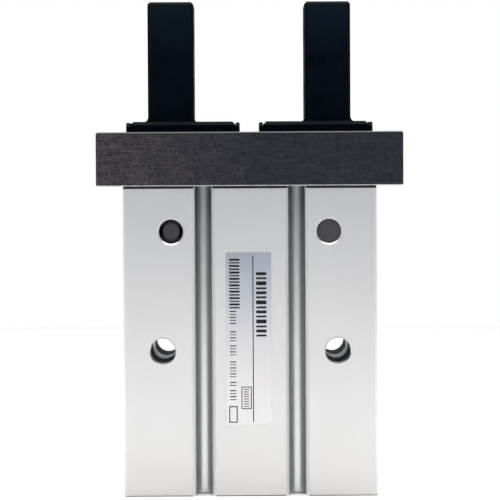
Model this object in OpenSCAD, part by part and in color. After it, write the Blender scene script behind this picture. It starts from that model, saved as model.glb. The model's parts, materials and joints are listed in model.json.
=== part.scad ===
// Two-finger parallel gripper, double acting, 25 mm bore.
// Frame: origin at the centre of the body's bottom face, +Z towards the fingertips,
// -Y the front face, +X the side with the two air ports. Drawn with the fingers partly open.

/* [Body] */
// Width of the body across the finger stroke
body_w = 52; // [51.5:0.1:54]
// Depth of the body from front to back
body_d = 33.6; // [33:0.1:35]
// Height of the body
body_h = 63.8; // [63.6:0.1:66]
// Height of the side mounting holes above the bottom face
mount_z = 30; // [28:0.1:31]
// Distance between the two side mounting holes, and between the two bottom ones
mount_pitch = 36; // [35.8:0.1:37]

/* [Guide rail] */
// Length of the guide rail
rail_w = 63; // [62:0.1:66]
// Depth of the guide rail from front to back
rail_d = 33.8; // [33.4:0.1:35]
// Height of the guide rail
rail_h = 11.1; // [10.6:0.1:11.2]

/* [Fingers] */
// Height of the fingertips above the body's bottom face
total_h = 102.4; // [100:0.1:110]
// Thickness of a finger along the stroke
finger_t = 9.6; // [9:0.1:10]
// Depth of a finger from front to back
finger_d = 12; // [10:0.1:13]
// Gap between the fingers when closed
closed_gap = 19.3; // [19.3:0.1:20]
// Travel of one finger
finger_travel = 7; // [6:0.1:7]
// How far each finger stands from its closed place as drawn
finger_open = 2; // [0:0.1:3.5]

/* [Label] */
// Width of the label
label_w = 9.3; // [6:0.1:11]
// Height of the label
label_h = 35.4; // [20:0.1:40]

/* [Hidden] */
$fn = 64;
eps = 0.5; // overshoot of a cutting shape past the face it opens

// Edges and mouths of holes
body_bevel = 0.45; // of the upright edges
foot_bevel = 0.15; // round the bottom face
rail_bevel = 0.2;
rail_round = 0.5; // of the rail's edges along Y
mouth_bevel = 0.3;
mount_mouth = 0.25;
thread_mouth = 0.4;
small_mouth = 0.2;
screw_bevel = 0.4;

// Shallow step along the front and back of the body's top, under the rail
relief_h = 0.55;
relief_d = 0.6;

// Clearances: of a part laid into its seat, all round it, and of a screw in its thread
slip = 0.02;
thread_gap = 0.02;

// Sensor grooves
groove_x = 9.6;
groove_r = 2.05;
groove_slot = 3.4;
groove_bevel = 0.75;
groove_depth = 2.3; // from the face to the groove's axis

// Threads are drawn at their core radius, which is also the radius of the drilled hole
m6_r = 2.55;
m6_foot_r = 2.5;
m5_r = 2.1;
m3_r = 1.5;
m3_depth = 8;
foot_thread_z = 12.5;

// Air ports on the +X side
port_depth = 5.5;
port_hole_r = 0.9;
opening_port_z = 16.6;
closing_port_z = 34.9;

// Cylinder
bore_r = 12.5;
bore_top_z = 37;
recess_r = 13;
recess_h = 2;
ring_z = 3.2;
ring_h = 1.3;
ring_groove_r = 13.45;
ring_in_r = 11.7;
lug_angle = 13; // of each lug of the ring, from the gap's middle
lug_r = 2;
lug_y = 11;
lug_hole_r = 0.8;
lug_hole_y = 10.8;
cap_h = 11.7;
cap_z = ring_z + ring_h;
cap_top_z = cap_z + cap_h;
cap_spigot_r = 10.8;
cap_spigot_h = 2;
cap_r = bore_r - 0.05;
cap_dish_r = 8.5;
cap_dish_h = 1;
cap_hole_r = 1.65;
cap_hole_h = 6;
cap_o_ring_z = cap_z + 5;
o_ring_r = 0.93;
o_ring_groove_h = 2.4;
o_ring_groove_d = 1.9;
bumper_r = 9;
bumper_in_r = 5;
cap_bumper_h = 1.3;
rod_bumper_h = 1.1;
rod_r = 4.99;
rod_hole_r = 5.02;
rod_seal_z = 40;
rod_seal_h = 3;
rod_seal_r = 7;

// Levers and their shafts
pivot_x = 16.2;
pivot_z = body_h - 9.3;
shaft_r = 2.5;
shaft_l = body_d - 2.2;
shaft_lead = 0.85;
shaft_bevel = 0.2;
pin_fit = 0.008; // a shaft or pin is this much smaller in radius than its hole
left_shaft_sunk = 1.6; // depth of the shaft's front end below the front face
right_shaft_sunk = 0.6;
lever_bore_r = 2.53;
hub_r = 4.3;
arm_root_r = 3.4;
arm_tip_r = 1.5;
lever_side_gap = 0.2;
lever_t = 6.4;
upper_nose_r = 2.2;
upper_arm = 14;
inner_nose_r = 1.9;
inner_arm = 12;
nose_gap = 0.06;
cavity_x = 21.4;
cavity_y = 3.5;
cavity_corner = 1.5;
cavity_z = pivot_z - 6.4;
joint_pocket_r = 6;
joint_pocket_z = cavity_z - 1;

// Linkage: a finger moves sideways, its lever turns and the piston rises
half_travel = finger_travel / 2;
mid_offset = finger_open - half_travel;
lever_end_angle = asin(half_travel / upper_arm);
lever_angle = mid_offset / half_travel * lever_end_angle;
piston_half = inner_arm * sin(lever_end_angle);
piston_offset = mid_offset / half_travel * piston_half;
finger_x = closed_gap / 2 + finger_open; // inner face of a finger, as drawn
slot_x = pivot_x - (closed_gap / 2 + half_travel); // lever slot, from the finger's inner face

// Piston, from its bottom face
piston_h = 12.2;
piston_r = 12.45;
piston_gap = 0.1; // to the cap's bumper with the piston down
piston_z = cap_top_z + cap_bumper_h + piston_gap + piston_half + piston_offset;
piston_bevel = 0.5;
piston_recess_r = 4;
piston_recess_h = 4;
piston_spigot_r = 10.5;
piston_spigot_h = 2.2;
magnet_z = 1.8;
magnet_h = 3.4;
magnet_r = 9.6;
seal_z = 7;
seal_h = 2.4;
seal_r = 10.2;
joint_z = pivot_z + piston_offset; // centre of the groove that holds the levers
joint_head_r = 5;
joint_head_h = 3;
joint_neck_r = 2;
joint_thread = 10;
joint_hex = 3;
joint_hex_depth = 2;
rod_top_z = joint_z - inner_nose_r - nose_gap;

// Guide rail
rail_floor = 2.6;
channel_y = 8.2;
rail_slot_x = 6;
ball_r = 1;
ball_y = 8.1;
ball_z = body_h + 6.8;
track_r = 1.05;
rail_screw_x = 22;
rail_screw_y = 12.6;
rail_screw_head_r = 2.75;
rail_screw_head_h = 3;
rail_screw_seat = 3.4;
rail_screw_l = 14;
rail_screw_hex = 2.5;
seat_gap = 0.25; // between a rail screw's head and its counterbore
dowel_r = 1.25;
dowel_l = 8;
dowel_bevel = 0.25;

// Finger base: a block that runs on two ball circuits, with a stopper plate on each end
base_in = 9.6; // from the finger's inner face towards the middle
base_out = 4.5; // from the finger's outer face outwards
base_y = 8;
base_lift = 0.3; // above the floor of the rail's channel
base_rise = 2.4; // above the rail's top
base_z = body_h + rail_floor + base_lift;
base_top_z = body_h + rail_h + base_rise;
stopper_t = 0.8;
block_x0 = stopper_t - base_in;
block_x1 = finger_t + base_out - stopper_t;
block_bevel = 0.7;
block_side_bevel = 0.3;
foot_fillet = 0.9;
tip_bevel = 0.5;
lever_headroom = 0.3; // over a lever's upper nose
lever_slot_h = pivot_z + upper_arm + upper_nose_r + lever_headroom - base_z;
turn_r = 1.6;
turn_gap = 0.08; // round a ball in the turns
turn_margin = 0.06; // between a turn and the block's end
turn_end = turn_r + ball_r + turn_margin;
return_hole_r = 1.1;
balls_per_circuit = 20;
straight = block_x1 - block_x0 - 2 * turn_end;
circuit = 2 * straight + 2 * PI * turn_r;
stopper_screw_y = 5;
stopper_screw_z = body_h + 10.7;
stopper_screw_r = 0.8;
stopper_screw_head = 1.3;
stopper_screw_l = 3.2;
stopper_screw_slot = 0.3; // width and depth of the driver slot
stopper_inset = 0.2; // of a stopper plate inside the base's outline
stopper_bevel = 0.8;
stopper_notch_h = 1;
finger_thread_drop = 6.5; // from the tip to the first attachment thread
finger_thread_pitch = 12;

// Label, on the front face between the sensor grooves
label_t = 0.09;
label_x = -0.35;
label_z = 14.8;

light_metal = [0.85, 0.85, 0.84];
bright_steel = [0.75, 0.76, 0.78];
black_oxide = [0.08, 0.09, 0.11];
rail_black = [0.2, 0.2, 0.22];
rubber = [0.1, 0.1, 0.1];

// ---------- shared shapes ----------

// Rectangle about the origin with its corners cut off
module cut_square(w, h, c) {
    polygon([
        [-w / 2 + c, -h / 2], [w / 2 - c, -h / 2], [w / 2, -h / 2 + c], [w / 2, h / 2 - c],
        [w / 2 - c, h / 2], [-w / 2 + c, h / 2], [-w / 2, h / 2 - c], [-w / 2, -h / 2 + c]
    ]);
}

// Box standing on z = 0 about the Z axis, with upright and level edges bevelled
module bevel_box(w, d, h, upright, level) {
    intersection() {
        linear_extrude(h) cut_square(w, d, upright);
        translate([0, d, h / 2]) rotate([90, 0, 0]) linear_extrude(2 * d) cut_square(w, h, level);
        translate([-w, 0, h / 2]) rotate([90, 0, 90]) linear_extrude(2 * w) cut_square(d, h, level);
    }
}

// Cylinder along +X from its start point
module rod_x(r, l) {
    rotate([0, 90, 0]) cylinder(r = r, h = l);
}

// Cutter for a hole from z = 0 downwards, with a bevelled mouth
module mouthed_hole(r, depth, bevel) {
    translate([0, 0, -depth]) cylinder(r = r, h = depth + eps);
    translate([0, 0, -bevel]) cylinder(r1 = r, r2 = r + bevel + 0.1, h = bevel + 0.1);
}

// Hole right through along Y, from the front face to the back face, mouths bevelled
module through_hole_y(r, d, bevel) {
    for (side = [-1, 1])
        rotate([side * 90, 0, 0]) translate([0, 0, d / 2]) mouthed_hole(r, d / 2 + eps, bevel);
}

// Box with rounded upright corners, standing on z = 0, for slots and round ends
module slot_box(half_x, half_y, h, corner) {
    linear_extrude(h) {
        square([2 * (half_x - corner), 2 * half_y], center = true);
        square([2 * half_x, 2 * (half_y - corner)], center = true);
        for (x = [-1, 1], y = [-1, 1])
            translate([x * (half_x - corner), y * (half_y - corner)]) circle(r = corner);
    }
}

// Flat ring standing on z = 0
module ring(r_out, r_in, h) {
    difference() {
        cylinder(r = r_out, h = h);
        translate([0, 0, -eps]) cylinder(r = r_in, h = h + 2 * eps);
    }
}

module o_ring(major, minor) {
    rotate_extrude() translate([major, 0]) circle(r = minor, $fn = 32);
}

// Hexagon socket, by its width across flats, from z = 0 downwards
module hex_socket(flats, depth) {
    translate([0, 0, -depth]) cylinder(r = flats / sqrt(3), h = depth + eps, $fn = 6);
}

// Socket-head cap screw with its head's underside at z = 0
module cap_screw(r, length, head_r, head_h, flats) {
    difference() {
        union() {
            cylinder(r = head_r, h = head_h - mouth_bevel);
            translate([0, 0, head_h - mouth_bevel])
                cylinder(r1 = head_r, r2 = head_r - mouth_bevel, h = mouth_bevel);
            translate([0, 0, -length + screw_bevel]) cylinder(r = r, h = length - screw_bevel);
            translate([0, 0, -length]) cylinder(r1 = r - screw_bevel, r2 = r, h = screw_bevel);
        }
        translate([0, 0, head_h]) hex_socket(flats, head_h / 2);
    }
}

// ---------- housing ----------

module sensor_groove() {
    translate([0, groove_depth, -eps]) cylinder(r = groove_r, h = body_h + 2 * eps);
    translate([0, 0, -eps]) linear_extrude(body_h + 2 * eps) {
        translate([-groove_slot / 2, -eps]) square([groove_slot, groove_depth + eps]);
        polygon([
            [-groove_slot / 2 - groove_bevel - eps, -eps], [groove_slot / 2 + groove_bevel + eps, -eps],
            [groove_slot / 2, groove_bevel], [-groove_slot / 2, groove_bevel]
        ]);
    }
}

module top_relief() {
    for (side = [0, 180])
        rotate([0, 0, side]) translate([-body_w, -body_d / 2 - eps, body_h - relief_h])
            cube([2 * body_w, relief_d + eps, relief_h + eps]);
}

module cylinder_bore() {
    translate([0, 0, -eps]) cylinder(r = recess_r, h = recess_h + eps);
    translate([0, 0, -eps])
        cylinder(r1 = recess_r + mouth_bevel + eps, r2 = recess_r, h = mouth_bevel + eps);
    cylinder(r = bore_r, h = bore_top_z);
    translate([0, 0, ring_z]) cylinder(r = ring_groove_r, h = ring_h);
    translate([0, 0, bore_top_z - eps]) cylinder(r = rod_hole_r, h = joint_pocket_z - bore_top_z + 2 * eps);
    translate([0, 0, rod_seal_z]) cylinder(r = rod_seal_r, h = rod_seal_h);
}

module lever_cavity() {
    translate([0, 0, cavity_z]) slot_box(cavity_x, cavity_y, body_h - cavity_z + eps, cavity_corner);
    translate([0, 0, joint_pocket_z]) cylinder(r = joint_pocket_r, h = body_h - joint_pocket_z + eps);
}

module air_port(z) {
    translate([body_w / 2, 0, z]) rotate([0, 90, 0]) mouthed_hole(m5_r, port_depth, thread_mouth);
    translate([bore_r - 1, 0, z]) rod_x(port_hole_r, body_w / 2 - port_depth - bore_r + 2);
}

module body() {
    color(light_metal) difference() {
        bevel_box(body_w, body_d, body_h, body_bevel, foot_bevel);
        for (x = [-groove_x, groove_x], side = [0, 180])
            rotate([0, 0, side]) translate([x, -body_d / 2, 0]) sensor_groove();
        top_relief();
        cylinder_bore();
        lever_cavity();
        air_port(opening_port_z);
        air_port(closing_port_z);
        for (x = [-1, 1]) {
            translate([x * mount_pitch / 2, 0, mount_z]) through_hole_y(m6_r, body_d, mount_mouth);
            translate([x * pivot_x, 0, pivot_z]) through_hole_y(shaft_r, body_d, mouth_bevel);
            translate([x * mount_pitch / 2, 0, 0]) rotate([180, 0, 0])
                mouthed_hole(m6_foot_r, foot_thread_z, thread_mouth);
            for (y = [-1, 1])
                translate([x * rail_screw_x, y * rail_screw_y, body_h])
                    mouthed_hole(m3_r, m3_depth, small_mouth);
        }
        for (y = [-1, 1])
            translate([0, y * rail_screw_y, body_h])
                mouthed_hole(dowel_r, dowel_l / 2 + mouth_bevel, small_mouth);
    }
}

module guide_rail() {
    color(rail_black) translate([0, 0, body_h]) difference() {
        intersection() {
            bevel_box(rail_w, rail_d, rail_h, rail_bevel, rail_bevel);
            translate([0, rail_d, rail_h / 2]) rotate([90, 0, 0])
                slot_box(rail_w / 2, rail_h / 2, 2 * rail_d, rail_round);
        }
        translate([-rail_w, -channel_y, rail_floor]) cube([2 * rail_w, 2 * channel_y, rail_h]);
        for (y = [-1, 1]) {
            translate([-rail_w, y * ball_y, ball_z - body_h]) rod_x(track_r, 2 * rail_w);
            translate([0, y * rail_screw_y, -eps]) cylinder(r = dowel_r, h = dowel_l / 2 + eps);
            for (x = [-1, 1])
                translate([x * rail_screw_x, y * rail_screw_y, 0]) {
                    translate([0, 0, -eps]) cylinder(r = m3_r + small_mouth, h = rail_h);
                    translate([0, 0, rail_h])
                        mouthed_hole(rail_screw_head_r + seat_gap, rail_screw_seat, small_mouth);
                }
        }
        for (x = [-1, 1])
            translate([x * pivot_x, 0, -eps])
                slot_box(rail_slot_x, cavity_y, rail_floor + 2 * eps, cavity_corner);
    }
}

module rail_screws() {
    color(rubber)
        for (x = [-1, 1], y = [-1, 1])
            translate([x * rail_screw_x, y * rail_screw_y, body_h + rail_h - rail_screw_seat])
                cap_screw(m3_r - thread_gap, rail_screw_l, rail_screw_head_r, rail_screw_head_h,
                    rail_screw_hex);
}

module dowel_pins() {
    color(bright_steel)
        for (y = [-1, 1])
            translate([0, y * rail_screw_y, body_h - dowel_l / 2])
                bevelled_pin(dowel_r - pin_fit, dowel_l, dowel_bevel);
}

// Pin standing on z = 0 with both ends bevelled
module bevelled_pin(r, l, bevel) {
    cylinder(r1 = r - bevel, r2 = r, h = bevel);
    translate([0, 0, bevel]) cylinder(r = r, h = l - 2 * bevel);
    translate([0, 0, l - bevel]) cylinder(r1 = r, r2 = r - bevel, h = bevel);
}

// Shaft along Y with a long lead-in bevel on one end and a small one on the other.
// sunk is the depth of its front end below the front face; lead_front puts the long bevel there.
module lever_shaft(side, sunk, lead_front) {
    r = shaft_r - pin_fit;
    front = lead_front ? shaft_lead : shaft_bevel;
    rear = lead_front ? shaft_bevel : shaft_lead;
    color(bright_steel) translate([side * pivot_x, sunk - body_d / 2, pivot_z]) rotate([-90, 0, 0]) {
        cylinder(r1 = r - front, r2 = r, h = front);
        translate([0, 0, front]) cylinder(r = r, h = shaft_l - front - rear);
        translate([0, 0, shaft_l - rear]) cylinder(r1 = r, r2 = r - rear, h = rear);
    }
}

module end_cap() {
    color(rubber) translate([0, 0, cap_z]) difference() {
        union() {
            cylinder(r = cap_r, h = cap_h - cap_spigot_h);
            cylinder(r = cap_spigot_r, h = cap_h);
        }
        translate([0, 0, cap_o_ring_z - cap_z - o_ring_groove_h / 2])
            ring(bore_r + eps, bore_r - o_ring_groove_d, o_ring_groove_h);
        translate([0, 0, -eps]) cylinder(r = cap_dish_r, h = cap_dish_h + eps);
        translate([0, 0, -eps]) cylinder(r = cap_hole_r, h = cap_hole_h);
    }
}

module cap_o_ring() {
    color(rubber) translate([0, 0, cap_o_ring_z]) o_ring(bore_r - slip - o_ring_r, o_ring_r);
}

// Inside retaining ring: open at the front, with a drilled lug on each end
module retaining_ring() {
    h = ring_h - 2 * slip;
    color(bright_steel) translate([0, 0, ring_z + slip]) difference() {
        union() {
            difference() {
                ring(ring_groove_r - 2 * slip, ring_in_r, h);
                translate([0, 0, -eps]) linear_extrude(ring_h + 2 * eps)
                    polygon([[0, 0], for (a = [-lug_angle, lug_angle]) body_w * [sin(a), -cos(a)]]);
            }
            for (a = [-lug_angle, lug_angle])
                rotate([0, 0, a]) translate([0, -lug_y, 0]) cylinder(r = lug_r, h = h);
        }
        for (a = [-lug_angle, lug_angle])
            rotate([0, 0, a]) translate([0, -lug_hole_y, -eps])
                cylinder(r = lug_hole_r, h = ring_h + 2 * eps);
    }
}

module cap_bumper() {
    color("tan") translate([0, 0, cap_top_z]) ring(bumper_r, bumper_in_r, cap_bumper_h);
}

module rod_bumper() {
    color("tan") translate([0, 0, bore_top_z - rod_bumper_h])
        ring(bumper_r, rod_hole_r + eps, rod_bumper_h);
}

// Rod seal: a ring with a lip on each side of a shallow valley
module rod_seal() {
    h = rod_seal_h - 2 * slip;
    r_out = rod_seal_r - slip;
    r_in = rod_r + slip;
    color(rubber) translate([0, 0, rod_seal_z + slip]) rotate_extrude()
        polygon([
            [r_in, 0], [r_out, 0], [r_out, h], [r_in + 1.2, h], [r_in + 0.9, h - 0.8],
            [r_in + 0.3, h], [r_in, h - 0.3], [r_in + 0.2, h / 2]
        ]);
}

module rating_label() {
    color([0.9, 0.9, 0.93]) translate([label_x, -(body_d + label_t) / 2, label_z + label_h / 2])
        rotate([90, 0, 0]) linear_extrude(label_t, center = true) cut_square(label_w, label_h, 0.3);
}

// ---------- piston group ----------

module piston() {
    color(light_metal) difference() {
        union() {
            translate([0, 0, piston_z]) {
                cylinder(r1 = piston_r - piston_bevel, r2 = piston_r, h = piston_bevel);
                translate([0, 0, piston_bevel])
                    cylinder(r = piston_r, h = piston_h - piston_spigot_h - piston_bevel);
                cylinder(r = piston_spigot_r, h = piston_h);
            }
            translate([0, 0, piston_z + piston_h - eps])
                cylinder(r = rod_r, h = rod_top_z - piston_z - piston_h + eps);
        }
        translate([0, 0, piston_z + magnet_z]) ring(bore_r + eps, magnet_r, magnet_h);
        translate([0, 0, piston_z + seal_z]) ring(bore_r + eps, seal_r, seal_h);
        translate([0, 0, piston_z - eps]) cylinder(r = piston_recess_r, h = piston_recess_h + eps);
        translate([0, 0, rod_top_z - joint_thread - eps])
            cylinder(r = joint_neck_r + thread_gap, h = joint_thread + 2 * eps);
    }
}

// Piston seal: two lips that face away from each other
module piston_seal() {
    r_in = seal_r + slip;
    r_out = bore_r - slip;
    h = seal_h - 2 * slip;
    color(rubber) translate([0, 0, piston_z + seal_z + slip]) rotate_extrude()
        polygon([
            [r_in, 0], [r_out - 0.5, 0], [r_out, 0.35], [r_out - 0.35, h / 2],
            [r_out, h - 0.35], [r_out - 0.5, h], [r_in, h]
        ]);
}

module magnet_ring() {
    color([0.25, 0.23, 0.22]) translate([0, 0, piston_z + magnet_z + slip])
        ring(piston_r - mouth_bevel, magnet_r + slip, magnet_h - 2 * slip);
}

// Shouldered bolt in the rod's end: the levers' inner noses sit under its head
module joint_bolt() {
    color(bright_steel) translate([0, 0, joint_z + inner_nose_r + nose_gap]) difference() {
        union() {
            cylinder(r = joint_head_r, h = joint_head_h - screw_bevel);
            translate([0, 0, joint_head_h - screw_bevel])
                cylinder(r1 = joint_head_r, r2 = joint_head_r - screw_bevel, h = screw_bevel);
            translate([0, 0, -joint_thread - 2 * (inner_nose_r + nose_gap)])
                cylinder(r = joint_neck_r, h = joint_thread + 2 * (inner_nose_r + nose_gap) + eps);
        }
        translate([0, 0, joint_head_h]) hex_socket(joint_hex, joint_hex_depth);
    }
}

// ---------- levers ----------

// Side outline of an arm between a round of r1 at the origin and a round of r2 at [0, d]
module arm(r1, r2, d) {
    s = (r1 - r2) / d;
    c = sqrt(1 - s * s);
    polygon([[r1 * c, r1 * s], [r2 * c, d + r2 * s], [-r2 * c, d + r2 * s], [-r1 * c, r1 * s]]);
}

// Bell crank at mid stroke, its pivot at the origin: one arm up, the other towards the rod
module lever() {
    rotate([90, 0, 0]) difference() {
        union() {
            linear_extrude(lever_t, center = true) arm(arm_root_r, arm_tip_r, upper_arm);
            rotate([0, 0, 90]) linear_extrude(lever_t, center = true) arm(arm_root_r, arm_tip_r, inner_arm);
            cylinder(r = hub_r, h = lever_t, center = true);
            translate([0, upper_arm, 0]) cylinder(r = upper_nose_r, h = lever_t, center = true);
            translate([-inner_arm, 0, 0]) cylinder(r = inner_nose_r, h = lever_t, center = true);
        }
        cylinder(r = lever_bore_r, h = lever_t + 2 * eps, center = true);
    }
}

module right_lever() {
    color(bright_steel) translate([pivot_x, 0, pivot_z]) rotate([0, lever_angle, 0]) lever();
}

module left_lever() {
    mirror([1, 0, 0]) right_lever();
}

// ---------- fingers ----------
// The modules below draw the right-hand side, from the finger's inner face at x = 0.

module at_right() {
    translate([finger_x, 0, 0]) children();
}

module at_left() {
    mirror([1, 0, 0]) at_right() children();
}

// Space for the turn between the loaded track and the return hole, at one end of the block
module ball_turn() {
    difference() {
        cylinder(r = turn_r + ball_r + 2 * turn_gap, h = 2 * (ball_r + turn_gap), center = true);
        cylinder(r = turn_r - ball_r - turn_gap, h = 4 * ball_r, center = true);
        translate([-base_y, -base_y / 2, -base_y / 2]) cube(base_y);
    }
}

module ball_circuit_cut() {
    turn_y = ball_y - turn_r;
    translate([block_x0 - eps, ball_y, ball_z]) rod_x(track_r, block_x1 - block_x0 + 2 * eps);
    translate([block_x0 + turn_end, ball_y - 2 * turn_r, ball_z]) rod_x(return_hole_r, straight);
    translate([block_x1 - turn_end, turn_y, ball_z]) ball_turn();
    translate([block_x0 + turn_end, turn_y, ball_z]) rotate([0, 0, 180]) ball_turn();
}

// Concave round between the finger and its base, along Y
module foot_round(side) {
    translate([side * foot_fillet, 0, foot_fillet]) difference() {
        translate([-side * foot_fillet / 2, 0, -foot_fillet / 2])
            cube([foot_fillet, finger_d, foot_fillet], center = true);
        rotate([90, 0, 0]) cylinder(r = foot_fillet, h = finger_d + 2, center = true);
    }
}

module finger() {
    block_l = block_x1 - block_x0;
    color(black_oxide) difference() {
        union() {
            translate([(block_x0 + block_x1) / 2, 0, base_z])
                bevel_box(block_l, 2 * base_y, base_top_z - base_z, block_side_bevel, block_bevel);
            translate([finger_t / 2, 0, ball_z])
                bevel_box(finger_t, finger_d, total_h - ball_z, tip_bevel, tip_bevel);
            translate([0, 0, base_top_z]) foot_round(-1);
            translate([finger_t, 0, base_top_z]) foot_round(1);
        }
        for (side = [0, 1]) mirror([0, side, 0]) ball_circuit_cut();
        translate([slot_x - upper_nose_r - nose_gap, -lever_t / 2 - lever_side_gap, base_z - eps])
            cube([2 * (upper_nose_r + nose_gap), lever_t + 2 * lever_side_gap, lever_slot_h + eps]);
        for (i = [0, 1])
            translate([0, 0, total_h - finger_thread_drop - i * finger_thread_pitch]) {
                translate([finger_t, 0, 0]) rotate([0, 90, 0])
                    mouthed_hole(m5_r, finger_t + eps, thread_mouth);
                rotate([0, -90, 0]) mouthed_hole(m5_r, 2 * thread_mouth, thread_mouth);
            }
        for (y = [-1, 1], end = [block_x0 - eps, block_x1 - stopper_screw_l + stopper_t])
            translate([end, y * stopper_screw_y, stopper_screw_z])
                rod_x(stopper_screw_r, stopper_screw_l - stopper_t + eps);
    }
}

// A point on the ball circuit, at a distance along it from the start of the loaded track
function circuit_point(s) =
    s < straight ? [block_x0 + turn_end + s, ball_y]
    : s < straight + PI * turn_r ? turn_point(block_x1 - turn_end, (s - straight) / turn_r * 180 / PI)
    : s < 2 * straight + PI * turn_r
        ? [block_x1 - turn_end - (s - straight - PI * turn_r), ball_y - 2 * turn_r]
    : turn_point(block_x0 + turn_end, 180 + (s - 2 * straight - PI * turn_r) / turn_r * 180 / PI);

function turn_point(x, angle) = [x + turn_r * sin(angle), ball_y - turn_r + turn_r * cos(angle)];

// One circuit of balls; side is -1 for the front one and 1 for the rear one
module balls(side) {
    color(bright_steel)
        for (i = [0 : balls_per_circuit - 1]) {
            p = circuit_point((i + 0.5) * circuit / balls_per_circuit);
            translate([p[0], side * p[1], ball_z]) sphere(r = ball_r, $fn = 32);
        }
}

// Plate that closes one end of both circuits, its inner side at x = 0
module stopper() {
    h = base_top_z - base_z - 2 * stopper_inset;
    color(black_oxide) difference() {
        translate([0, 0, base_z + stopper_inset + h / 2]) rotate([90, 0, 90])
            linear_extrude(stopper_t) cut_square(2 * base_y - stopper_inset, h, stopper_bevel);
        for (y = [-1, 1])
            translate([0, y * stopper_screw_y, stopper_screw_z]) {
                translate([-eps, 0, 0]) rod_x(stopper_screw_r + 2 * slip, stopper_t + 2 * eps);
                translate([stopper_t, 0, 0]) rotate([0, -90, 0])
                    stopper_screw_head(2 * slip);
            }
        translate([-eps, -lever_t / 2, base_z - eps])
            cube([stopper_t + 2 * eps, lever_t, stopper_notch_h + eps]);
    }
}

// Cone of a countersunk head, its face at z = 0, grown by a clearance
module stopper_screw_head(gap) {
    cylinder(r1 = stopper_screw_head + gap, r2 = stopper_screw_r + gap,
        h = stopper_screw_head - stopper_screw_r + gap);
}

// Countersunk slotted screw along X, its flat head's face at x = 0, pointing to -X
module stopper_screw() {
    rotate([0, -90, 0]) difference() {
        union() {
            stopper_screw_head(-thread_gap);
            cylinder(r = stopper_screw_r - thread_gap, h = stopper_screw_l - thread_gap);
        }
        translate([-stopper_screw_head, -stopper_screw_slot / 2, -eps])
            cube([2 * stopper_screw_head, stopper_screw_slot, stopper_screw_slot + eps]);
    }
}

module inner_stopper() {
    translate([block_x0, 0, 0]) mirror([1, 0, 0]) stopper();
}

module outer_stopper() {
    translate([block_x1, 0, 0]) stopper();
}

module stopper_screws() {
    color(bright_steel)
        for (y = [-1, 1])
            translate([0, y * stopper_screw_y, stopper_screw_z]) {
                translate([block_x1 + stopper_t, 0, 0]) stopper_screw();
                translate([block_x0 - stopper_t, 0, 0]) mirror([1, 0, 0]) stopper_screw();
            }
}

// ---------- nodes ----------

body();
guide_rail();
rail_screws();
dowel_pins();
lever_shaft(-1, left_shaft_sunk, true);  // left_lever_shaft
lever_shaft(1, right_shaft_sunk, false);  // right_lever_shaft
end_cap();
cap_o_ring();
retaining_ring();
cap_bumper();
rod_bumper();
rod_seal();
rating_label();
piston();
piston_seal();
magnet_ring();
joint_bolt();
left_lever();
right_lever();
at_left() finger();  // left_finger
at_right() finger();  // right_finger
at_left() balls(-1);  // left_front_balls
at_left() balls(1);  // left_rear_balls
at_right() balls(-1);  // right_front_balls
at_right() balls(1);  // right_rear_balls
at_left() inner_stopper();  // left_inner_stopper
at_left() outer_stopper();  // left_outer_stopper
at_right() inner_stopper();  // right_inner_stopper
at_right() outer_stopper();  // right_outer_stopper
at_left() stopper_screws();  // left_stopper_screws
at_right() stopper_screws();  // right_stopper_screws
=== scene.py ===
"""Two-finger pneumatic gripper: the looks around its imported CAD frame. Metres, row frame, Z up."""

import json
import math

import bmesh
import bpy
from mathutils import Matrix, Vector

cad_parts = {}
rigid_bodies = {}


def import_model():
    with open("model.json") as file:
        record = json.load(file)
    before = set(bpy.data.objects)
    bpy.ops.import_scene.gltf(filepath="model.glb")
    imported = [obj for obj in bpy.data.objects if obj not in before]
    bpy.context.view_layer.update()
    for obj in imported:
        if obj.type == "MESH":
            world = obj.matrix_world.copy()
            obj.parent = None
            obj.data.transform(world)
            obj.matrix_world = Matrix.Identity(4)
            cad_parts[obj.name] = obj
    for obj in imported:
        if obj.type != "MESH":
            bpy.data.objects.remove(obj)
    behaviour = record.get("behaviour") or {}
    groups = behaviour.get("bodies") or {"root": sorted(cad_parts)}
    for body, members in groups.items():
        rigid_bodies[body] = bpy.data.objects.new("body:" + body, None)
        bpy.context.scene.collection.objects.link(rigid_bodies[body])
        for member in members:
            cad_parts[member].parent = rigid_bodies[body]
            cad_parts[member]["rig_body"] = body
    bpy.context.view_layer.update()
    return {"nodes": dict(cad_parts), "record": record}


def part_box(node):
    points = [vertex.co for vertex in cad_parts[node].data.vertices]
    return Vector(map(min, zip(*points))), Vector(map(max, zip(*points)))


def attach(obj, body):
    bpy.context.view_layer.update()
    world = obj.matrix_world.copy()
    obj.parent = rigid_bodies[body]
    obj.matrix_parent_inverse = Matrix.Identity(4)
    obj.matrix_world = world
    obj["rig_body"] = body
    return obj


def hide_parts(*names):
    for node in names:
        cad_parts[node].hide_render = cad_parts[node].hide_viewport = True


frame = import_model()
NODES = frame["nodes"]

MM = 0.001
HALF_WIDTH, HALF_DEPTH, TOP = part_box("body")[1]
MOUNTS = {m["name"]: m for m in frame["record"]["mounts"]}

# Threads: pitch, and the radius of the thread's root, which is cut outwards from the plain bore
M5_PITCH, M5_ROOT = 0.8 * MM, 2.46 * MM
M6_PITCH, M6_ROOT = 1.0 * MM, 2.98 * MM
SIDE_THREAD_DEPTH = 12 * MM
FOOT_THREAD_DEPTH = 12 * MM
PORT_THREAD_DEPTH = 5 * MM
MOUTH = 0.3 * MM  # bevelled mouth that a thread runs out into

# Camera: an eye level with the top of the body, and a long lens
EYE = Vector((-0.6, -441.6, 63.65)) * MM
PAN, TILT, ROLL = math.radians(-0.08), math.radians(-1.75), math.radians(0.3)
LENS = 149.3  # millimetres, on a 36 mm sensor

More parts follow.
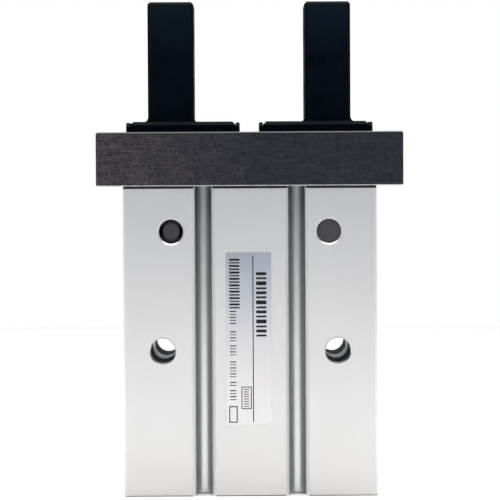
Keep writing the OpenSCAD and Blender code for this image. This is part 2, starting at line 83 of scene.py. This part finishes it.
FLOOR_REACH = 0.5  # how far the floor runs behind the object; it is 2 m square
ROOM_LEVEL = 0.16  # how bright the room in front of the object is, against a white backdrop of 1
BACKDROP_LEVEL = 0.5  # how bright the backdrop behind the object is to the object itself

# Where the body's painted light and shade lie
GROOVE_START = 0.75 * MM  # how far behind the front and back faces the grooves' painted light and shade begin
HOLE_REACH, LIP_REACH = 3.2 * MM, 3.6 * MM  # half the width of the areas round a side hole and its lip
FOOT_SHADE = 0.25 * MM  # height of the dark line along the foot
RELIEF_SHADE = 0.43 * MM  # height of the dark line under the rail

SHARP_ANGLE = math.radians(28)
WELD = 1e-7  # vertices nearer than this are one
FLAT_ANGLE = math.radians(0.3)  # faces that meet at less than this are merged before the threads are cut
THREAD_STEPS = 36  # steps in one turn of a thread
INK = 0.004 * MM  # how far the print stands above and reaches into the foil


# ---------- small helpers ----------

def mesh_object(name, bm, body, material):
    """A new piece from a bmesh, on its CAD body."""
    mesh = bpy.data.meshes.new(name)
    bm.to_mesh(mesh)
    bm.free()
    obj = bpy.data.objects.new(name, mesh)
    bpy.context.scene.collection.objects.link(obj)
    mesh.materials.append(material)
    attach(obj, body)
    return obj


def smooth(mesh, angle=SHARP_ANGLE):
    """Smooth shading with hard edges where faces meet at more than the angle."""
    mesh.shade_smooth()
    mesh.set_sharp_from_angle(angle=angle)


def apply_modifiers(obj):
    depsgraph = bpy.context.evaluated_depsgraph_get()
    mesh = bpy.data.meshes.new_from_object(obj.evaluated_get(depsgraph))
    obj.modifiers.clear()
    obj.data = mesh


def box_verts(bm, low, high):
    """Adds a closed box between two corners."""
    size = Vector(high) - Vector(low)
    middle = (Vector(high) + Vector(low)) / 2
    made = bmesh.ops.create_cube(bm, size=1.0)["verts"]
    bmesh.ops.transform(bm, matrix=Matrix.Translation(middle) @ Matrix.Diagonal((*size, 1)), verts=made)
    return made


# ---------- materials ----------

class Shader:
    """A node material with a Principled shader, built by short calls."""

    def __init__(self, name, color, metallic=0.0, roughness=0.5, **fixed):
        self.material = bpy.data.materials.new(name)
        self.material.use_nodes = True
        self.nodes = self.material.node_tree.nodes
        self.links = self.material.node_tree.links
        self.bsdf = self.nodes["Principled BSDF"]
        self.color = color
        self.bsdf.inputs["Base Color"].default_value = (*color, 1)
        self.bsdf.inputs["Metallic"].default_value = metallic
        self.bsdf.inputs["Roughness"].default_value = roughness
        for socket, value in fixed.items():
            self.bsdf.inputs[socket.replace("_", " ")].default_value = value
        self.coord = self.nodes.new("ShaderNodeTexCoord").outputs["Object"]

    def noise(self, scale, stretch=(1, 1, 1), detail=4.0, rough=0.55):
        """Noise with a given number of cells per metre; stretch is the factor per axis."""
        mapping = self.nodes.new("ShaderNodeMapping")
        mapping.inputs["Scale"].default_value = stretch
        self.links.new(self.coord, mapping.inputs["Vector"])
        node = self.nodes.new("ShaderNodeTexNoise")
        node.inputs["Scale"].default_value = scale
        node.inputs["Detail"].default_value = detail
        node.inputs["Roughness"].default_value = rough
        self.links.new(mapping.outputs[0], node.inputs["Vector"])
        return node.outputs["Fac"]

    def remap(self, value, low, high, to_low, to_high):
        node = self.nodes.new("ShaderNodeMapRange")
        for index, number in enumerate((low, high, to_low, to_high), start=1):
            node.inputs[index].default_value = number
        self.links.new(value, node.inputs[0])
        return node.outputs[0]

    def math(self, operation, a, b):
        node = self.nodes.new("ShaderNodeMath")
        node.operation = operation
        for index, value in enumerate((a, b)):
            if isinstance(value, (int, float)):
                node.inputs[index].default_value = value
            else:
                self.links.new(value, node.inputs[index])
        return node.outputs[0]

    def mix(self, factor, color_a, color_b):
        """Blends two colours, or a colour socket and a colour, by a factor socket."""
        node = self.nodes.new("ShaderNodeMix")
        node.data_type = "RGBA"
        self.links.new(factor, node.inputs[0])
        for index, color in ((6, color_a), (7, color_b)):
            if isinstance(color, tuple):
                node.inputs[index].default_value = (*color, 1)
            else:
                self.links.new(color, node.inputs[index])
        return node.outputs[2]

    def tint(self, value, amount, low=0.35, high=0.65):
        """Base colour that goes from darker to lighter than the plain one by a share of it."""
        dark = tuple(c * (1 - amount) for c in self.color)
        light = tuple(min(1.0, c * (1 + amount)) for c in self.color)
        color = self.mix(self.remap(value, low, high, 0, 1), dark, light)
        self.links.new(color, self.bsdf.inputs["Base Color"])
        return color

    def roughen(self, value, low, high):
        self.links.new(self.remap(value, 0.3, 0.7, low, high), self.bsdf.inputs["Roughness"])

    def bump(self, value, height, strength=1.0):
        """Bump of a real height in metres; calls stack."""
        node = self.nodes.new("ShaderNodeBump")
        node.inputs["Strength"].default_value = strength
        node.inputs["Distance"].default_value = height
        self.links.new(value, node.inputs["Height"])
        old = self.bsdf.inputs["Normal"]
        if old.is_linked:
            self.links.new(old.links[0].from_socket, node.inputs["Normal"])
        self.links.new(node.outputs[0], old)

    def axes(self, kind):
        """Sizes along X, Y and Z of the object-space place ("Object") or normal ("Normal")."""
        separate = self.nodes.new("ShaderNodeSeparateXYZ")
        self.links.new(self.coord.node.outputs[kind], separate.inputs[0])
        return [self.math("ABSOLUTE", separate.outputs[axis], 0) for axis in range(3)]

    def all_of(self, *factors):
        """Product of several 0 to 1 factors."""
        product = factors[0]
        for factor in factors[1:]:
            product = self.math("MULTIPLY", product, factor)
        return product

    def groove_mouths(self, place, normal):
        """The slanted faces at the mouths of the body's sensor grooves."""
        slanted = self.remap(self.math("MAXIMUM", normal[0], normal[1]), 0.8, 0.76, 0, 1)
        near_face = self.remap(place[1], HALF_DEPTH - 0.8 * MM, HALF_DEPTH - 0.75 * MM, 0, 1)
        inside = self.remap(place[0], HALF_WIDTH - 1 * MM, HALF_WIDTH - 2 * MM, 0, 1)
        return self.all_of(slanted, near_face, inside, self.remap(normal[2], 0.2, 0.1, 0, 1))

    def near_side_holes(self, place, reach):
        """The surroundings of the four threaded holes in the front and back faces."""
        mount = MOUNTS["front_mounting_holes"]
        middles = mount["dims"]["spacing_x_mm"] * MM / 2, mount["pos_m"][2]
        factors = []
        for value, middle in zip((place[0], place[2]), middles):
            away = self.math("ABSOLUTE", self.math("SUBTRACT", value, middle), 0)
            factors.append(self.remap(away, reach, reach - 0.1 * MM, 0, 1))
        return self.all_of(*factors)

    def hole_walls(self, place, normal):
        """The plain stretch in the middle of those holes, painted lighter as a reflection."""
        inside = self.remap(place[1], HALF_DEPTH - 1.0 * MM, HALF_DEPTH - 1.1 * MM, 0, 1)
        wall = self.remap(normal[1], 0.2, 0.1, 0, 1)
        return self.all_of(self.near_side_holes(place, HOLE_REACH), inside, wall)

    def hole_lip_shadows(self, place, normal):
        """The slanted mouths of those holes, their lower half painted dark as shadow."""
        slanted = self.all_of(self.remap(normal[1], 0.9, 0.8, 0, 1), self.remap(normal[1], 0.3, 0.4, 0, 1))
        facing = self.nodes.new("ShaderNodeSeparateXYZ")
        self.links.new(self.coord.node.outputs["Normal"], facing.inputs[0])
        low = self.remap(facing.outputs[2], -0.1, 0.4, 0, 1)
        return self.all_of(self.near_side_holes(place, LIP_REACH), slanted, low)

    def bevel_wear_and_highlight(self, base, bevel_color, only_along_x=False):
        """A second colour on slanted bevels, where no axis rules the surface's normal: worn metal, and on the
        rail a painted highlight.
        """
        normal = self.axes("Normal")
        flat = self.math("MAXIMUM", self.math("MAXIMUM", normal[0], normal[1]), normal[2])
        bevel = self.remap(flat, 0.93, 0.76, 0, 1)
        if only_along_x:
            bevel = self.all_of(bevel, self.remap(normal[0], 0.3, 0.2, 0, 1))
        # this mask carries worn metal, and on the rail's lower bevels a painted highlight
        worn = self.all_of(bevel, self.remap(self.noise(700, detail=3), 0.3, 0.5, 0.55, 1))
        self.links.new(self.mix(worn, base, bevel_color), self.bsdf.inputs["Base Color"])


def anodised_alloy():
    """Clear-anodised extrusion: a fine matte grain, faint draw lines along Z, and painted light and shade: in
    the grooves, at the top and the foot, under the rail, in and round the side holes and on the groove
    mouths.
    """
    s = Shader("body_anodised", (0.685, 0.682, 0.677), metallic=0.8, roughness=0.32)
    grain = s.noise(4200, detail=3)
    drawn = s.noise(1500, stretch=(1, 1, 0.02), detail=2)
    cloud = s.noise(60, detail=2)
    color = s.tint(s.math("ADD", s.math("MULTIPLY", grain, 0.5), s.math("MULTIPLY", cloud, 0.5)), 0.035)
    place, normal = s.axes("Object"), s.axes("Normal")
    # painted shade: the body darker and bluer towards the top
    color = s.mix(s.remap(place[2], 0.55 * TOP, TOP, 0, 0.75), color, (0.636, 0.645, 0.68))
    # painted shade: the body darker and warmer towards the foot, near the floor
    color = s.mix(s.remap(place[2], 0.3 * TOP, 0, 0, 0.5), color, (0.56, 0.54, 0.52))
    deep = s.remap(place[1], HALF_DEPTH - GROOVE_START, HALF_DEPTH - GROOVE_START - 0.2 * MM, 0, 1)
    groove = s.all_of(deep, s.remap(place[0], HALF_WIDTH - 1.5 * MM, HALF_WIDTH - 2 * MM, 0, 1),
                      s.remap(normal[2], 0.6, 0.4, 0, 1))
    # painted light: the grooves lighter low down
    lower = s.all_of(groove, s.remap(place[2], TOP, 0.5 * TOP, 0, 1))
    color = s.mix(lower, color, (0.79, 0.79, 0.785))
    # painted shade: the grooves darker high up, under the rail
    upper = s.all_of(groove, s.remap(place[2], 0.45 * TOP, TOP, 0, 0.58))
    color = s.mix(upper, color, (0.28, 0.295, 0.315))
    # painted shade: the grooves' side walls near black
    groove_wall_shade = s.all_of(groove, s.remap(normal[1], 0.88, 0.45, 0, 1))
    color = s.mix(groove_wall_shade, color, (0.07, 0.085, 0.08))
    # painted reflection: the plain middle of the side holes lighter
    color = s.mix(s.hole_walls(place, normal), color, (0.85, 0.87, 0.86))
    # painted shadow on the lower half of the side holes' lips
    color = s.mix(s.hole_lip_shadows(place, normal), color, (0.12, 0.13, 0.15))
    # painted shade: a dark line along the foot
    foot = s.remap(place[2], FOOT_SHADE, FOOT_SHADE - 0.1 * MM, 0, 1)
    color = s.mix(foot, color, (0.16, 0.16, 0.15))
    # painted shadow: a black line in the gap under the rail
    gap = s.all_of(s.remap(place[2], TOP - RELIEF_SHADE - 0.03 * MM, TOP - RELIEF_SHADE, 0, 1),
                   s.remap(place[1], HALF_DEPTH - 1 * MM, HALF_DEPTH - 0.9 * MM, 0, 1),
                   s.remap(normal[0], 0.6, 0.4, 0, 1))
    color = s.mix(gap, color, (0.03, 0.03, 0.03))
    # painted highlight: the groove mouths a lighter, greenish tone
    color = s.mix(s.groove_mouths(place, normal), color, (0.72, 0.735, 0.73))
    s.links.new(color, s.bsdf.inputs["Base Color"])
    s.roughen(grain, 0.28, 0.38)
    s.bump(grain, 0.004 * MM)
    s.bump(drawn, 0.002 * MM)
    return s.material


def ground_rail():
    """Hardened rail, surface-ground along X, then blackened."""
    s = Shader("rail_ground_black", (0.05, 0.051, 0.056), metallic=0.6, roughness=0.42)
    ground = s.noise(3200, stretch=(0.06, 1, 1), detail=4, rough=0.7)
    speck = s.noise(1500, detail=3, rough=0.7)
    cloud = s.noise(240, detail=3)
    place = s.nodes.new("ShaderNodeSeparateXYZ")
    s.links.new(s.coord, place.inputs[0])
    along = s.remap(place.outputs[0], -HALF_WIDTH, 0.1 * HALF_WIDTH, 1, 0)
    warmth = s.math("ADD", s.remap(cloud, 0.35, 0.65, -0.2, 0.2), along)
    toned = s.mix(warmth, (0.022, 0.024, 0.038), (0.066, 0.058, 0.063))
    mixed = s.math("ADD", s.math("MULTIPLY", ground, 0.5), s.math("MULTIPLY", speck, 0.5))
    color = s.mix(s.remap(mixed, 0.4, 0.58, 0.85, 0), toned, (0.008, 0.009, 0.013))
    s.roughen(ground, 0.36, 0.5)
    s.bump(ground, 0.004 * MM)
    facing = s.nodes.new("ShaderNodeSeparateXYZ")
    s.links.new(s.coord.node.outputs["Normal"], facing.inputs[0])
    # bevels: bare ground steel, lighter on the downward-facing ones as a painted highlight
    bare_edge_and_highlight = s.mix(s.remap(facing.outputs[2], -0.3, 0.3, 0, 1), (0.45, 0.45, 0.44), (0.05, 0.05, 0.05))
    s.bevel_wear_and_highlight(color, bare_edge_and_highlight, only_along_x=True)
    return s.material


def black_finger():
    """Blackened finger steel, milled lengthwise."""
    s = Shader("finger_black", (0.001, 0.0025, 0.006), metallic=0.0, roughness=0.42, Specular_IOR_Level=0.025)
    milled = s.noise(2600, stretch=(1, 1, 0.08), detail=3)
    cloud = s.noise(350, detail=3)
    color = s.tint(s.math("ADD", s.math("MULTIPLY", milled, 0.5), s.math("MULTIPLY", cloud, 0.5)), 0.4)
    # painted sheen: the fingers lighter and bluer towards their tops
    painted_top_sheen = s.remap(s.axes("Object")[2], 1.42 * TOP, 1.66 * TOP, 0, 1)
    color = s.mix(painted_top_sheen, color, (0.004, 0.0095, 0.0155))
    s.roughen(milled, 0.36, 0.5)
    s.bump(milled, 0.002 * MM)
    s.bevel_wear_and_highlight(color, (0.002, 0.003, 0.005))
    return s.material


def ground_pin():
    """Lever shaft steel with a turned end."""
    s = Shader("pin_steel", (0.078, 0.076, 0.081), metallic=0.9, roughness=0.4)
    grain = s.noise(6000, detail=2)
    s.tint(grain, 0.12)
    s.roughen(grain, 0.34, 0.48)
    s.bump(grain, 0.002 * MM)
    return s.material


def bright_steel():
    """Polished bearing steel."""
    s = Shader("steel_polished", (0.6, 0.6, 0.61), metallic=1.0, roughness=0.2)
    grain = s.noise(5000, detail=2)
    s.tint(grain, 0.05)
    s.roughen(grain, 0.16, 0.26)
    s.bump(grain, 0.001 * MM)
    return s.material


def plain_steel():
    """Machined steel of the levers and the joint bolt."""
    s = Shader("steel_machined", (0.42, 0.42, 0.43), metallic=1.0, roughness=0.35)
    cut = s.noise(4000, stretch=(1, 0.05, 1), detail=3)
    s.tint(cut, 0.12)
    s.roughen(cut, 0.28, 0.42)
    s.bump(cut, 0.002 * MM)
    return s.material


def black_screw():
    """Black-oxide screw steel, worn brighter at its edges."""
    s = Shader("screw_black_oxide", (0.022, 0.022, 0.024), metallic=0.5, roughness=0.36)
    grain = s.noise(6000, detail=3)
    color = s.tint(grain, 0.3)
    s.roughen(grain, 0.3, 0.46)
    s.bump(grain, 0.003 * MM)
    s.bevel_wear_and_highlight(color, (0.1, 0.1, 0.1))
    return s.material


def black_alloy():
    """Black-anodised end cap, turned: rings round its axis."""
    s = Shader("cap_black_anodised", (0.028, 0.028, 0.031), metallic=0.4, roughness=0.4)
    separate = s.nodes.new("ShaderNodeSeparateXYZ")
    s.links.new(s.coord, separate.inputs[0])
    square_x = s.math("MULTIPLY", separate.outputs[0], separate.outputs[0])
    square_y = s.math("MULTIPLY", separate.outputs[1], separate.outputs[1])
    radius = s.math("SQRT", s.math("ADD", square_x, square_y), 0)
    rings = s.math("SINE", s.math("MULTIPLY", radius, 2 * math.pi / (0.25 * MM)), 0)
    s.tint(s.noise(4000, detail=3), 0.2)
    s.roughen(s.noise(3000, detail=3), 0.34, 0.5)
    s.bump(s.remap(rings, -1, 1, 0, 1), 0.004 * MM)
    return s.material


def turned_alloy():
    """Turned piston alloy."""
    s = Shader("piston_alloy", (0.55, 0.55, 0.56), metallic=1.0, roughness=0.32)
    turned = s.noise(5000, stretch=(0.02, 0.02, 1), detail=3)
    s.tint(turned, 0.08)
    s.roughen(turned, 0.26, 0.4)
    s.bump(turned, 0.003 * MM)
    return s.material


def moulded(name, color, roughness):
    """Moulded rubber or urethane: a slight bloom and fine pores."""
    s = Shader(name, color, roughness=roughness)
    bloom = s.noise(500, detail=3)
    pores = s.noise(7000, detail=2)
    s.tint(bloom, 0.2)
    s.roughen(bloom, roughness - 0.08, roughness + 0.1)
    s.bump(pores, 0.004 * MM)
    return s.material


def label_foil():
    """Silver foil with a clear face: a little waviness from being stuck on by hand."""
    s = Shader("label_foil", (0.56, 0.585, 0.67), metallic=0.85, roughness=0.16)
    wave = s.noise(90, detail=2)
    grain = s.noise(6000, detail=2)
    color = s.tint(grain, 0.03)
    # painted reflection: the foil warmer and less blue towards the bottom
    lower = s.remap(s.axes("Object")[2], 0.75 * TOP, 0.45 * TOP, 0, 1)
    s.links.new(s.mix(lower, color, (0.585, 0.573, 0.578)), s.bsdf.inputs["Base Color"])
    s.roughen(grain, 0.13, 0.2)
    s.bump(wave, 0.012 * MM)
    s.bump(grain, 0.0015 * MM)
    return s.material


def cut_thread():
    """Cut thread, near black as painted shade inside the threaded holes."""
    s = Shader("thread_cut", (0.016, 0.019, 0.019), metallic=0.7, roughness=0.4)
    grain = s.noise(5000, detail=3)
    s.tint(grain, 0.35)
    s.roughen(grain, 0.32, 0.5)
    s.bump(grain, 0.003 * MM)
    return s.material


def label_ink():
    """Black screen-printed ink, with small pinholes."""
    s = Shader("label_ink", (0.008, 0.008, 0.01), roughness=0.42, Specular_IOR_Level=0.15)
    grain = s.noise(7000, detail=3)
    s.tint(grain, 0.3)
    s.roughen(grain, 0.36, 0.5)
    s.bump(grain, 0.003 * MM)
    return s.material


BODY_METAL = anodised_alloy()
# near-black thread faces: painted shade
THREAD_SHADE_METAL = cut_thread()
FINGER_METAL = black_finger()
PIN_METAL = ground_pin()
MATERIALS = {
    "rail_steel": ground_rail(), "finger_steel": FINGER_METAL, "screw_steel": black_screw(),
    "bright_steel": bright_steel(), "plain_alloy": turned_alloy(), "dark_alloy": black_alloy(),
    "magnet": moulded("magnet_bonded", (0.035, 0.032, 0.03), 0.55),
    "rubber": moulded("rubber_black", (0.014, 0.014, 0.015), 0.5),
    "urethane": moulded("urethane_amber", (0.42, 0.26, 0.09), 0.4),
    "label_foil": label_foil(), "body_alloy": BODY_METAL,
}


def dress_cad():
    """Gives every CAD node the material of its slot."""
    for part in frame["record"]["subparts"]:
        mesh = NODES[part["node"]].data
        mesh.materials.clear()
        mesh.materials.append(MATERIALS[part["material_slot"]])
    for node in ("left_lever", "right_lever", "joint_bolt"):
        NODES[node].data.materials[0] = plain_steel()
    for node in ("left_lever_shaft", "right_lever_shaft"):
        NODES[node].data.materials[0] = PIN_METAL


# ---------- threads ----------

def thread_cutter(bm, start, axis, depth, pitch, root, core):
    """Adds a helical ridge, sharp outwards, that cuts a thread inwards from start along axis."""
    steps = THREAD_STEPS
    count = int(steps * depth / pitch)
    axis = Vector(axis).normalized()
    side = axis.orthogonal().normalized()
    other = axis.cross(side)
    inner = core - 0.25 * MM
    half = 0.5 * pitch * 0.9 * (root - inner) / (root - core) * 0.9
    flat = 0.06 * pitch
    rings = []
    for i in range(count + 1):
        angle = 2 * math.pi * i / steps
        out = side * math.cos(angle) + other * math.sin(angle)
        middle = Vector(start) + axis * (pitch * i / steps)
        reach = inner + (root - inner) * min(1.0, (count - i) / steps + 0.02)
        rings.append([
            bm.verts.new(middle + out * inner - axis * min(half, 0.48 * pitch)),
            bm.verts.new(middle + out * reach - axis * flat),
            bm.verts.new(middle + out * reach + axis * flat),
            bm.verts.new(middle + out * inner + axis * min(half, 0.48 * pitch)),
        ])
    for a, b in zip(rings, rings[1:]):
        for k in range(4):
            bm.faces.new((a[k], a[(k + 1) % 4], b[(k + 1) % 4], b[k]))
    bm.faces.new(rings[0][::-1])
    bm.faces.new(rings[-1])


def darken_threads(mesh, holes):
    """Gives the faces inside each threaded stretch the near-black thread material, painted shade."""
    mesh.materials.append(THREAD_SHADE_METAL)
    for start, axis, depth, _, root, _ in holes:
        axis = Vector(axis).normalized()
        for face in mesh.polygons:
            along = (face.center - start).dot(axis)
            if 0 < along < depth and (face.center - start - axis * along).length < root + 0.1 * MM:
                face.material_index = 1


def cut_threads(node, name, material, holes):
    """Replaces a CAD node with a copy that has real threads cut into its holes."""
    bm = bmesh.new()
    for start, axis, depth, pitch, root, core in holes:
        thread_cutter(bm, start, axis, depth, pitch, root, core)
    bmesh.ops.recalc_face_normals(bm, faces=bm.faces)
    cutter_mesh = bpy.data.meshes.new("cutter")
    bm.to_mesh(cutter_mesh)
    bm.free()
    cutter = bpy.data.objects.new("cutter", cutter_mesh)
    bpy.context.scene.collection.objects.link(cutter)

    source = bmesh.new()
    source.from_mesh(NODES[node].data)
    bmesh.ops.remove_doubles(source, verts=source.verts, dist=WELD)
    bmesh.ops.dissolve_limit(source, angle_limit=FLAT_ANGLE, verts=source.verts, edges=source.edges)
    obj = mesh_object(name, source, frame["nodes"][node]["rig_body"], material)
    cut = obj.modifiers.new("threads", "BOOLEAN")
    cut.object = cutter
    cut.operation = "DIFFERENCE"
    cut.solver = "EXACT"
    apply_modifiers(obj)
    bpy.data.objects.remove(cutter)
    obj.data.attributes.remove(obj.data.attributes["custom_normal"])
    if material != FINGER_METAL:
        darken_threads(obj.data, holes)
    smooth(obj.data)
    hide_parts(node)
    return obj


def body_threads():
    """Holes of the body: M6 from both faces and from below, and the two M5 ports."""
    holes = []
    for face, axis in (("front_mounting_holes", 1), ("back_mounting_holes", -1)):
        mount = MOUNTS[face]
        half = mount["dims"]["spacing_x_mm"] * MM / 2
        core = mount["dims"]["hole_r_mm"] * MM
        for side in (-1, 1):
            start = Vector(mount["pos_m"]) + Vector((side * half, axis * MOUTH * 0.4, 0))
            holes.append((start, (0, axis, 0), SIDE_THREAD_DEPTH, M6_PITCH, M6_ROOT, core))
    mount = MOUNTS["base_threads"]
    half = mount["dims"]["spacing_x_mm"] * MM / 2
    core = mount["dims"]["hole_r_mm"] * MM
    for side in (-1, 1):
        start = Vector(mount["pos_m"]) + Vector((side * half, 0, MOUTH * 0.4))
        holes.append((start, (0, 0, 1), FOOT_THREAD_DEPTH, M6_PITCH, M6_ROOT, core))
    for port in ("opening_port", "closing_port"):
        start = Vector(MOUNTS[port]["pos_m"])
        start.x = HALF_WIDTH - 0.2 * MM
        core = MOUNTS[port]["dims"]["r_mm"] * MM
        holes.append((start, (-1, 0, 0), PORT_THREAD_DEPTH, M5_PITCH, M5_ROOT, core))
    return holes


def finger_threads(side):
    """The two M5 holes that run right through one finger."""
    mount = MOUNTS[f"{side}_finger_threads"]
    outwards = Vector(mount["axis"])
    inner = MOUNTS[f"{side}_finger_face"]["pos_m"][0]
    length = abs(mount["pos_m"][0] - inner)
    core = mount["dims"]["hole_r_mm"] * MM
    pitch_half = mount["dims"]["spacing_y_mm"] * MM / 2
    holes = []
    for level in (-1, 1):
        start = Vector(mount["pos_m"]) + Vector((0, 0, level * pitch_half)) - outwards * 0.2 * MM
        holes.append((start, -outwards, length - 0.2 * MM, M5_PITCH, M5_ROOT, core))
    return holes


# ---------- label print ----------

def label_print():
    """Plain bars, a rule and two outlined boxes where a rating label has its print."""
    low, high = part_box("rating_label")
    bm = bmesh.new()

    def bar(left, down, width, height):
        """A printed bar, placed in millimetres from the label's upper left corner."""
        x0 = low.x + left * MM
        z1 = high.z - down * MM
        box_verts(bm, (x0, low.y - INK, z1 - height * MM), (x0 + width * MM, low.y + INK, z1))

    def row(left, down, width, lengths, gap):
        """Bars one below the other, each as long as its entry."""
        for length in lengths:
            bar(left, down, width, length)
            down += length + gap

    def outline(left, down, width, height, line):
        bar(left, down, width, line)
        bar(left, down + height - line, width, line)
        bar(left, down + line, line, height - 2 * line)
        bar(left + width - line, down + line, line, height - 2 * line)

    bar(5.45, 0.7, 0.2, 34.2)
    row(6.2, 4.1, 2.1, (0.6, 0.4, 0.8, 0.4) * 3 + (0.6, 0.4), 0.43)
    row(0.7, 1.3, 2.1, (0.4, 0.25, 0.4, 0.3) * 4, 0.32)
    groups = ((12.0, 5), (16.2, 4), (19.1, 4), (22.4, 6), (26.6, 2), (28.3, 4))
    for down, count in groups:
        row(0.75, down, 1.3, (0.22, 0.16) * (count // 2) + (0.22,) * (count % 2), 0.42)
    outline(3.1, 27.6, 2.1, 4.6, 0.18)
    row(3.6, 28.1, 1.05, (0.17,) * 8, 0.32)
    outline(0.55, 31.6, 1.75, 3.4, 0.22)
    mesh_object("label_ink", bm, "housing", label_ink())


# ---------- stage ----------

def floor():
    bm = bmesh.new()
    bmesh.ops.create_grid(bm, x_segments=1, y_segments=1, size=1.0)
    mesh = bpy.data.meshes.new("floor")
    bm.to_mesh(mesh)
    bm.free()
    obj = bpy.data.objects.new("floor", mesh)
    bpy.context.scene.collection.objects.link(obj)
    obj.location = (0, FLOOR_REACH - 1.0, 0)
    s = Shader("floor_paper", (0.84, 0.84, 0.84), roughness=0.9)
    s.tint(s.noise(400, detail=3), 0.01)
    mesh.materials.append(s.material)


def area_light(name, place, target, size, power, color=(1, 1, 1)):
    light = bpy.data.lights.new(name, "AREA")
    light.shape = "RECTANGLE"
    light.size, light.size_y = size
    light.energy = power
    light.color = color
    obj = bpy.data.objects.new(name, light)
    bpy.context.scene.collection.objects.link(obj)
    obj.location = place
    obj.rotation_euler = (Vector(target) - Vector(place)).to_track_quat("-Z", "Y").to_euler()


def studio():
    """A white sweep under a large top light, with a softbox on each side and a dimmer room in front."""
    middle = (0, 0, 0.05)
    area_light("top", (0, -0.15, 0.75), (0, -0.15, 0), (1.0, 1.0), 15.6)
    area_light("left", (-0.8, -0.12, 0.2), middle, (0.5, 0.6), 0.6)
    area_light("right", (0.8, -0.12, 0.2), middle, (0.5, 0.6), 0.6)
    world = bpy.data.worlds.new("studio")
    world.use_nodes = True
    nodes, links = world.node_tree.nodes, world.node_tree.links
    room = nodes["Background"]
    room.inputs["Color"].default_value = (0.94, 0.96, 1, 1)
    separate = nodes.new("ShaderNodeSeparateXYZ")
    links.new(nodes.new("ShaderNodeTexCoord").outputs["Generated"], separate.inputs[0])
    backwards = nodes.new("ShaderNodeMapRange")
    for index, number in enumerate((0.1, 0.8, ROOM_LEVEL, BACKDROP_LEVEL), start=1):
        backwards.inputs[index].default_value = number
    links.new(separate.outputs[1], backwards.inputs[0])
    links.new(backwards.outputs[0], room.inputs["Strength"])
    sweep = nodes.new("ShaderNodeBackground")
    sweep.inputs["Color"].default_value = (1, 1, 1, 1)
    seen = nodes.new("ShaderNodeLightPath").outputs["Is Camera Ray"]
    mix = nodes.new("ShaderNodeMixShader")
    links.new(seen, mix.inputs[0])
    links.new(room.outputs[0], mix.inputs[1])
    links.new(sweep.outputs[0], mix.inputs[2])
    links.new(mix.outputs[0], nodes["World Output"].inputs["Surface"])
    bpy.context.scene.world = world
    bpy.context.scene.view_settings.view_transform = "Standard"


def camera():
    data = bpy.data.cameras.new("camera")
    data.lens = LENS
    data.sensor_width = 36
    data.clip_end = 20
    obj = bpy.data.objects.new("camera", data)
    bpy.context.scene.collection.objects.link(obj)
    level = Matrix.Rotation(math.pi / 2, 4, "X")
    turn = Matrix.Rotation(PAN, 4, "Z") @ Matrix.Rotation(TILT, 4, "X") @ Matrix.Rotation(ROLL, 4, "Y")
    obj.matrix_world = Matrix.Translation(EYE) @ turn @ level
    bpy.context.scene.camera = obj


camera()
studio()
floor()
dress_cad()
cut_threads("body", "body_shell", BODY_METAL, body_threads())
for finger_side in ("left", "right"):
    cut_threads(f"{finger_side}_finger", f"{finger_side}_finger_steel", FINGER_METAL,
                finger_threads(finger_side))

label_print()
